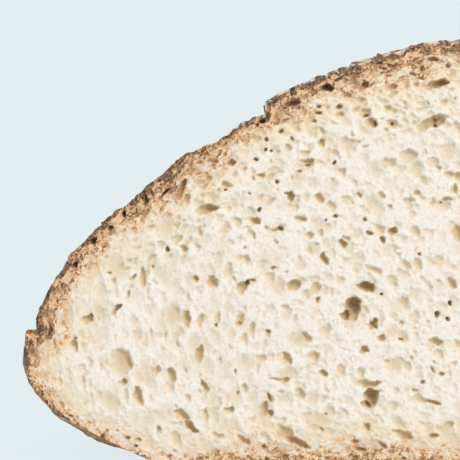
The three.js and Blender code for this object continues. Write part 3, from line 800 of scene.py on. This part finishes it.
def new_group(name, inputs, outputs):
    """A node group with named inputs, given with their usual values, and named outputs."""
    tree = bpy.data.node_groups.new(name, "ShaderNodeTree")
    for label, kind, usual in inputs:
        socket = tree.interface.new_socket(label, in_out="INPUT", socket_type="NodeSocket" + kind)
        if usual is not None:
            socket.default_value = usual
    for label, kind in outputs:
        tree.interface.new_socket(label, in_out="OUTPUT", socket_type="NodeSocket" + kind)
    return tree, tree.nodes.new("NodeGroupInput").outputs, tree.nodes.new("NodeGroupOutput").inputs


def use_group(tree, group, inputs):
    """The outputs of a node group placed in a tree, with its inputs set or linked."""
    return add(tree, "Group", inputs, node_tree=group).outputs


# Browning: from raw cream through gold and chestnut to nearly black.
browning, given, result = new_group("browning", [("Heat", "Float", 0.5)], [("Color", "Color")])
oven_colours = stops(
    browning, given["Heat"],
    (0.0, "fbf5ee"), (0.1, "faecdb"), (0.2, "f8dfbf"), (0.3, "f2ca9c"), (0.4, "dfaa77"),
    (0.5, "ba8454"), (0.6, "92603e"), (0.72, "6c412b"), (0.86, "4c2e22"), (1.0, "321f19"),
)
browning.links.new(oven_colours, result["Color"])

# Mottle: uneven patches with finer ones inside them, from 0 to 1.
mottle, given, result = new_group(
    "mottle", [("Place", "Vector", None), ("Size", "Float", 0.01), ("Sharpness", "Float", 1.0)],
    [("Mask", "Float")],
)
broad = add(mottle, "TexNoise", {
    "Vector": given["Place"], "Scale": sums(mottle, "DIVIDE", 1.0, given["Size"]),
    "Detail": 4.0, "Roughness": 0.62,
})
centred = sums(mottle, "SUBTRACT", broad.outputs["Fac"], 0.5)
contrast = sums(mottle, "MULTIPLY", given["Sharpness"], 2.0)
mottle.links.new(sums(mottle, "MULTIPLY_ADD", centred, contrast, 0.5, clamp=True), result["Mask"])

# Pits: tiny round hollows, as a mask of how deep each point lies.
pits, given, result = new_group(
    "pits", [("Place", "Vector", None), ("Size", "Float", 0.001), ("Open", "Float", 0.5)],
    [("Mask", "Float")],
)
cells = add(pits, "TexVoronoi", {
    "Vector": given["Place"], "Scale": sums(pits, "DIVIDE", 1.0, given["Size"]), "Randomness": 1.0,
}, feature="F1")
from_middle = sums(pits, "DIVIDE", cells.outputs["Distance"], given["Open"])
pit_mask = sums(pits, "SUBTRACT", 1.0, from_middle, clamp=True)
pits.links.new(pit_mask, result["Mask"])

# ---- Crumb: soft, matt and cream, tan in its hollows, browned through thin pressed layers near the crust.
crumb = bpy.data.materials.new("crumb")
tree = blank_tree(crumb)
place = add(tree, "TexCoord").outputs["Object"]
toasted = measure(tree, "toasted")
hollow_mm = measure(tree, "hollow")
edge_baked = measure(tree, "baked")
rind_mm = measure(tree, "rind")
dusted = measure(tree, "flour")
specks = use_group(tree, mottle, {"Place": place, "Size": 0.0011, "Sharpness": 1.6})["Mask"]
patches = use_group(tree, mottle, {"Place": place, "Size": 0.009, "Sharpness": 1.3})["Mask"]
fine_pits = use_group(tree, pits, {"Place": place, "Size": 0.00085, "Open": 0.62})["Mask"]
uneven = sums(tree, "MULTIPLY_ADD", specks, 0.4, sums(tree, "MULTIPLY_ADD", patches, 0.6, -0.5))
spread = sums(tree, "MULTIPLY_ADD", toasted, 0.45, 0.3)
depth_in = sums(tree, "MULTIPLY_ADD", uneven, spread, toasted)
in_crust = between(tree, depth_in, 1.7, 0.9)
near_crust = between(tree, depth_in, 3.6, 0.6)

# How browned the bread is from the outside in. Each place is a share of this many thicknesses of the crust.
THICKNESSES = 6.0
BROWNED = (
    (0.03, 0.7), (0.06, 0.54), (0.1, 0.47), (0.15, 0.4), (0.2, 0.34), (0.28, 0.25), (0.4, 0.17), (0.58, 0.1),
)
heat_in = add(tree, "FloatCurve", {"Value": sums(tree, "DIVIDE", depth_in, THICKNESSES, clamp=True)})
curve = heat_in.mapping.curves[0]
for at, browned_there in BROWNED:
    curve.points.new(at, browned_there)
curve.points[0].location = (0.0, 0.84)
curve.points[-1].location = (1.0, 0.02)
heat_in.mapping.update()

# The crust is pressed into layers: flecks and lumps that lie along it, a little out of line.
along_mm = measure(tree, "along")
across_mm = sums(tree, "MULTIPLY", add(tree, "SeparateXYZ", {"Vector": place}).outputs["X"], 1 / MM)
out_of_line = add(tree, "TexNoise", {"Vector": place, "Scale": 1 / 0.0018, "Detail": 2.0}).outputs["Color"]


def pressed(length_mm, thick_mm, drift, bent):
    """Places for a pattern of pieces of this length and thickness, pressed along the crust."""
    straight = add(tree, "CombineXYZ", {
        "X": sums(tree, "MULTIPLY", along_mm, 1 / length_mm),
        "Y": sums(tree, "MULTIPLY", rind_mm, 1 / thick_mm),
        "Z": sums(tree, "MULTIPLY", across_mm, drift),
    }).outputs[0]
    moved = {0: out_of_line, 1: (bent, bent, bent), 2: straight}
    return add(tree, "VectorMath", moved, operation="MULTIPLY_ADD").outputs[0]


flecks_at = pressed(0.95, 0.7, 0.7, 2.6)
lumps_at = pressed(3.8, 2.0, 0.2, 1.1)
flecks = use_group(tree, mottle, {"Place": flecks_at, "Size": 1.0, "Sharpness": 2.2})["Mask"]
lumps = use_group(tree, mottle, {"Place": lumps_at, "Size": 1.0, "Sharpness": 1.8})["Mask"]
pores = use_group(tree, pits, {"Place": flecks_at, "Size": 1.0, "Open": 0.8})["Mask"]
flour_specks = use_group(tree, mottle, {"Place": place, "Size": 0.0008, "Sharpness": 2.6})["Mask"]
pale_base = between(tree, edge_baked, 0.3, 0.03)
in_lumps = sums(tree, "MULTIPLY_ADD", lumps, 0.9, 0.35)
well_baked = sums(tree, "MULTIPLY_ADD", between(tree, edge_baked, 0.02, 0.4), 0.55, 0.45)
# Dark specks where tiny pores lie, in the lumps and where the crust baked well: painted shade in the pores.
pore_shade_flecks = sums(tree, "MULTIPLY", between(tree, pores, 0.2, 0.6), in_lumps)
pore_shade_flecks = sums(tree, "MULTIPLY", pore_shade_flecks, well_baked)
pale_flecks = between(tree, flecks, 0.45, 0.05)
layers = sums(tree, "MULTIPLY_ADD", pore_shade_flecks, 0.42, sums(tree, "MULTIPLY_ADD", lumps, 0.44, -0.26))
layers = sums(tree, "MULTIPLY_ADD", pale_flecks, -0.36, layers)
layers = sums(tree, "MULTIPLY_ADD", between(tree, flour_specks, 0.7, 1.0), -0.16, layers)
layers = sums(tree, "MULTIPLY_ADD", pale_base, -0.09, layers)

# A thin dark skin outside, then the layers, then crumb. What is still crust is never raw.
skin_depth = sums(tree, "MULTIPLY_ADD", sums(tree, "MULTIPLY_ADD", lumps, 2.2, 0.7), edge_baked, 0.12)
skin = between(tree, sums(tree, "DIVIDE", rind_mm, skin_depth), 1.15, 0.7)
baked_in = blend_number(tree, sums(tree, "MULTIPLY", skin, 0.75), heat_in.outputs[0], 0.8)
browned = sums(tree, "MULTIPLY_ADD", near_crust, layers, baked_in)
least_browned = sums(tree, "MULTIPLY", in_crust, sums(tree, "MULTIPLY_ADD", pale_base, -0.16, 0.28))
browned = sums(tree, "MAXIMUM", browned, least_browned)
bread_colour = use_group(tree, browning, {"Heat": browned})["Color"]

# Painted shade in the hollows: tan in the crumb and brown in the crust, darker the deeper they are.
crumb_hollow_shade = blend_colour(tree, between(tree, hollow_mm, 1.2, 4.0), tint("d8bc8d"), tint("96764d"))
crumb_hollow_shade = blend_colour(tree, between(tree, depth_in, 3.4, 1.4), crumb_hollow_shade, tint("bd8a58"))
crust_hollow_shade = blend_colour(tree, between(tree, hollow_mm, 0.4, 1.3), tint("a37351"), tint("5a3b2f"))
crust_hollow_shade = blend_colour(tree, between(tree, edge_baked, 0.4, 0.02), crust_hollow_shade, tint("b98a5c"))
hollow_shade_colour = blend_colour(tree, in_crust, crumb_hollow_shade, crust_hollow_shade)
# How much of the painted hollow shade a point takes, by how deep its hollow is.
hollow_shade_share = add(tree, "MapRange", {"Value": hollow_mm, "From Max": 1.4, "To Max": 0.9}).outputs[0]
crust_hollow_shade_share = sums(tree, "MULTIPLY", in_crust, between(tree, hollow_mm, 0.14, 0.6))
colour = blend_colour(tree, sums(tree, "MAXIMUM", hollow_shade_share, crust_hollow_shade_share), bread_colour, hollow_shade_colour)

# Fine pores tinted tan, as painted shade in them; specks and flakes of bran; and a broken line of flour just
# under the crust's outside.
colour = blend_colour(tree, sums(tree, "MULTIPLY", fine_pits, 0.3), colour, tint("dfc6a2"))
colour = blend_colour(tree, sums(tree, "MULTIPLY_ADD", flour_specks, -0.16, 0.16), colour, tint("e8d5ba"))
bran = use_group(tree, mottle, {"Place": place, "Size": 0.0042, "Sharpness": 1.3})["Mask"]
bran_there = between(tree, sums(tree, "MULTIPLY_ADD", specks, 0.5, bran), 0.95, 1.35)
colour = blend_colour(tree, sums(tree, "MULTIPLY", bran_there, 0.5), colour, tint("e3bf8c"))
flour_line = sums(tree, "MULTIPLY", between(tree, rind_mm, 0.8, 0.3), dusted)
flour_line = sums(tree, "MULTIPLY", flour_line, between(tree, lumps, 0.7, 0.3))
colour = blend_colour(tree, flour_line, colour, tint("efe3d2"))
raised = sums(tree, "SUBTRACT", sums(tree, "MULTIPLY", specks, 0.5), sums(tree, "MULTIPLY", fine_pits, 0.6))
raised = sums(tree, "MULTIPLY_ADD", sums(tree, "MULTIPLY", near_crust, flecks), 1.2, raised)
bump = add(tree, "Bump", {"Height": raised, "Strength": 0.3, "Distance": 0.0003})
surface = add(tree, "BsdfPrincipled", {
    "Base Color": colour, "Roughness": 0.82, "Normal": bump.outputs["Normal"], "Specular IOR Level": 0.12,
    "Subsurface Weight": sums(tree, "MULTIPLY", between(tree, toasted, 0.6, 3.6), 0.2),
    "Subsurface Radius": (1.0, 0.8, 0.6), "Subsurface Scale": 0.001,
})
add(tree, "OutputMaterial", {"Surface": surface.outputs["BSDF"]})
loaf_mesh.materials.append(crumb)

# ---- Crust: baked hard and brown, crazed as it cooled, dusted with the flour of the proving basket, and
# golden where a slash opened.
crust = bpy.data.materials.new("floured_crust")
tree = blank_tree(crust)
place = add(tree, "TexCoord").outputs["Object"]
crust_baked = measure(tree, "baked")
dusted = measure(tree, "flour")
opened = measure(tree, "opening")
patches = use_group(tree, mottle, {"Place": place, "Size": 0.014, "Sharpness": 1.4})["Mask"]
specks = use_group(tree, mottle, {"Place": place, "Size": 0.0016, "Sharpness": 1.8})["Mask"]
grains = use_group(tree, mottle, {"Place": place, "Size": 0.0007, "Sharpness": 2.2})["Mask"]
crust_pits = use_group(tree, pits, {"Place": place, "Size": 0.0026, "Open": 0.5})["Mask"]

# Crazing: fine cracks with bent sides, only in the patches that baked hardest.
wavy = add(tree, "TexNoise", {"Vector": place, "Scale": 1 / 0.004, "Detail": 1.0}).outputs["Color"]
bent = add(tree, "VectorMath", {0: wavy, 3: 0.003}, operation="SCALE").outputs[0]
bent_place = add(tree, "VectorMath", {0: place, 1: bent}, operation="ADD").outputs[0]
crackle = add(tree, "TexVoronoi", {"Vector": bent_place, "Scale": 1 / 0.0075}, feature="DISTANCE_TO_EDGE")
cracks = between(tree, crackle.outputs["Distance"], 0.045, 0.01)
cracks = sums(tree, "MULTIPLY", cracks, between(tree, patches, 0.42, 0.8))

browned = sums(tree, "MULTIPLY_ADD", crust_baked, 0.56, 0.28)
browned = sums(tree, "MULTIPLY_ADD", cracks, -0.12, browned)
browned = sums(tree, "ADD", browned, sums(tree, "MULTIPLY_ADD", patches, 0.24, -0.12))
browned = sums(tree, "ADD", browned, sums(tree, "MULTIPLY_ADD", specks, 0.16, -0.08))
# Painted shade: the crust is darker in its small pits.
browned = sums(tree, "MULTIPLY_ADD", crust_pits, 0.12, browned)
browned = sums(tree, "SUBTRACT", browned, sums(tree, "MULTIPLY", opened, 0.14))
baked_colour = use_group(tree, browning, {"Heat": browned})["Color"]
drift = sums(tree, "ADD", dusted, sums(tree, "MULTIPLY_ADD", patches, 0.5, -0.25))
drift = sums(tree, "ADD", drift, sums(tree, "MULTIPLY_ADD", grains, 0.8, -0.4))
flour_there = sums(tree, "MULTIPLY", between(tree, drift, 0.4, 0.95), 0.86)
raised = sums(tree, "MULTIPLY_ADD", specks, 0.6, sums(tree, "MULTIPLY", crust_pits, -0.5))
raised = sums(tree, "MULTIPLY_ADD", grains, 0.25, raised)
raised = sums(tree, "MULTIPLY_ADD", cracks, -0.8, raised)
bump = add(tree, "Bump", {"Height": raised, "Strength": 0.7, "Distance": 0.0004})
surface = add(tree, "BsdfPrincipled", {
    "Base Color": blend_colour(tree, flour_there, baked_colour, tint("f0e6d6")),
    "Roughness": sums(tree, "MULTIPLY_ADD", flour_there, 0.42, 0.48),
    "Normal": bump.outputs["Normal"], "Specular IOR Level": 0.35,
})
add(tree, "OutputMaterial", {"Surface": surface.outputs["BSDF"]})
loaf_mesh.materials.append(crust)

# ---------------------------------------------------------------- Floor, light and camera
# A plain pale floor that runs into a pale room, a broad soft lamp high on the right, and a camera square
# to the cut face that takes in its left half.
PALE = tint("e4eef1")
FLOOR_REACH = 40.0
FLOOR_BELOW = 0.2 * MM  # clear of the base, so that the two never fight
floor_mesh = bpy.data.meshes.new("floor")
floor_mesh.from_pydata([(-1, -1, 0), (1, -1, 0), (1, 1, 0), (-1, 1, 0)], [], [(0, 1, 2, 3)])
floor = bpy.data.objects.new("floor", floor_mesh)
floor.scale = (FLOOR_REACH, FLOOR_REACH, 1)
floor.location = (0, 0, cad_low[2] - FLOOR_BELOW)
bpy.context.collection.objects.link(floor)
floor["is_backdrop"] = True


def mix_shaders(tree, share, first, second):
    """From the first shader to the second, by their share."""
    return add(tree, "MixShader", {0: share, 1: first.outputs[0], 2: second.outputs[0]}).outputs[0]


# The floor glows as pale as the room, a little less in the corner under the loaf: a painted contact shadow
# there.
floor_paint = bpy.data.materials.new("pale_floor")
tree = blank_tree(floor_paint)
glow = add(tree, "Emission", {"Color": PALE, "Strength": 1.0})
matt = add(tree, "BsdfDiffuse", {"Color": PALE})
open_sky = add(tree, "AmbientOcclusion", {"Distance": 0.025}, samples=8).outputs["AO"]
seen_straight = add(tree, "LightPath").outputs["Is Camera Ray"]
glow_share = sums(tree, "MULTIPLY", seen_straight, sums(tree, "MULTIPLY_ADD", open_sky, 0.06, 0.94))
add(tree, "OutputMaterial", {"Surface": mix_shaders(tree, glow_share, matt, glow)})
floor_mesh.materials.append(floor_paint)

ROOM_LIGHT = 0.64
world = bpy.data.worlds.new("pale_room")
bpy.context.scene.world = world
tree = blank_tree(world)
seen = add(tree, "Background", {"Color": PALE, "Strength": 1.0})
lit = add(tree, "Background", {"Color": tint("f8f8f8"), "Strength": ROOM_LIGHT})
seen_straight = add(tree, "LightPath").outputs["Is Camera Ray"]
add(tree, "OutputWorld", {"Surface": mix_shaders(tree, seen_straight, lit, seen)})

face_centre = Vector((middle[0] * MM, (middle[1] + cut_y) * MM, 0.5 * loaf_height * MM))


def soft_lamp(name, direction, distance, size, power, colour):
    """A square lamp that looks at the cut face from a direction."""
    data = bpy.data.lights.new(name, "AREA")
    data.shape, data.size, data.energy, data.color = "SQUARE", size, power, tint(colour)[:3]
    lamp = bpy.data.objects.new(name, data)
    lamp.location = face_centre + Vector(direction).normalized() * distance
    lamp.rotation_euler = (-Vector(direction)).to_track_quat("-Z", "Y").to_euler()
    lamp.visible_camera = False
    bpy.context.collection.objects.link(lamp)


soft_lamp("key_lamp", (0.6, -0.85, 0.7), 3.2, 1.25, 50.6, "fffdfa")
soft_lamp("back_lamp", (-0.5, 0.9, 0.8), 1.5, 0.8, 4.0, "f6f9ff")

VIEW_WIDTH = 119.6 * MM  # of what the camera takes in, at the cut face
VIEW_LEFT = 67.6 * MM  # of the loaf's middle, to the centre of that view
VIEW_UP = 60.6 * MM  # and above its base
VIEW_DISTANCE = 0.55
SENSOR = 36
view_centre = Vector((face_centre.x - VIEW_LEFT, face_centre.y, VIEW_UP))
camera_data = bpy.data.cameras.new("camera")
camera_data.sensor_width = SENSOR
camera_data.lens = SENSOR * VIEW_DISTANCE / VIEW_WIDTH
camera_data.clip_start, camera_data.clip_end = 0.05, 60
camera = bpy.data.objects.new("camera", camera_data)
camera.location = view_centre - Vector((0, VIEW_DISTANCE, 0))
camera.rotation_euler = (math.pi / 2, 0, 0)
bpy.context.collection.objects.link(camera)
bpy.context.scene.camera = camera
bpy.context.scene.view_settings.view_transform = "Standard"
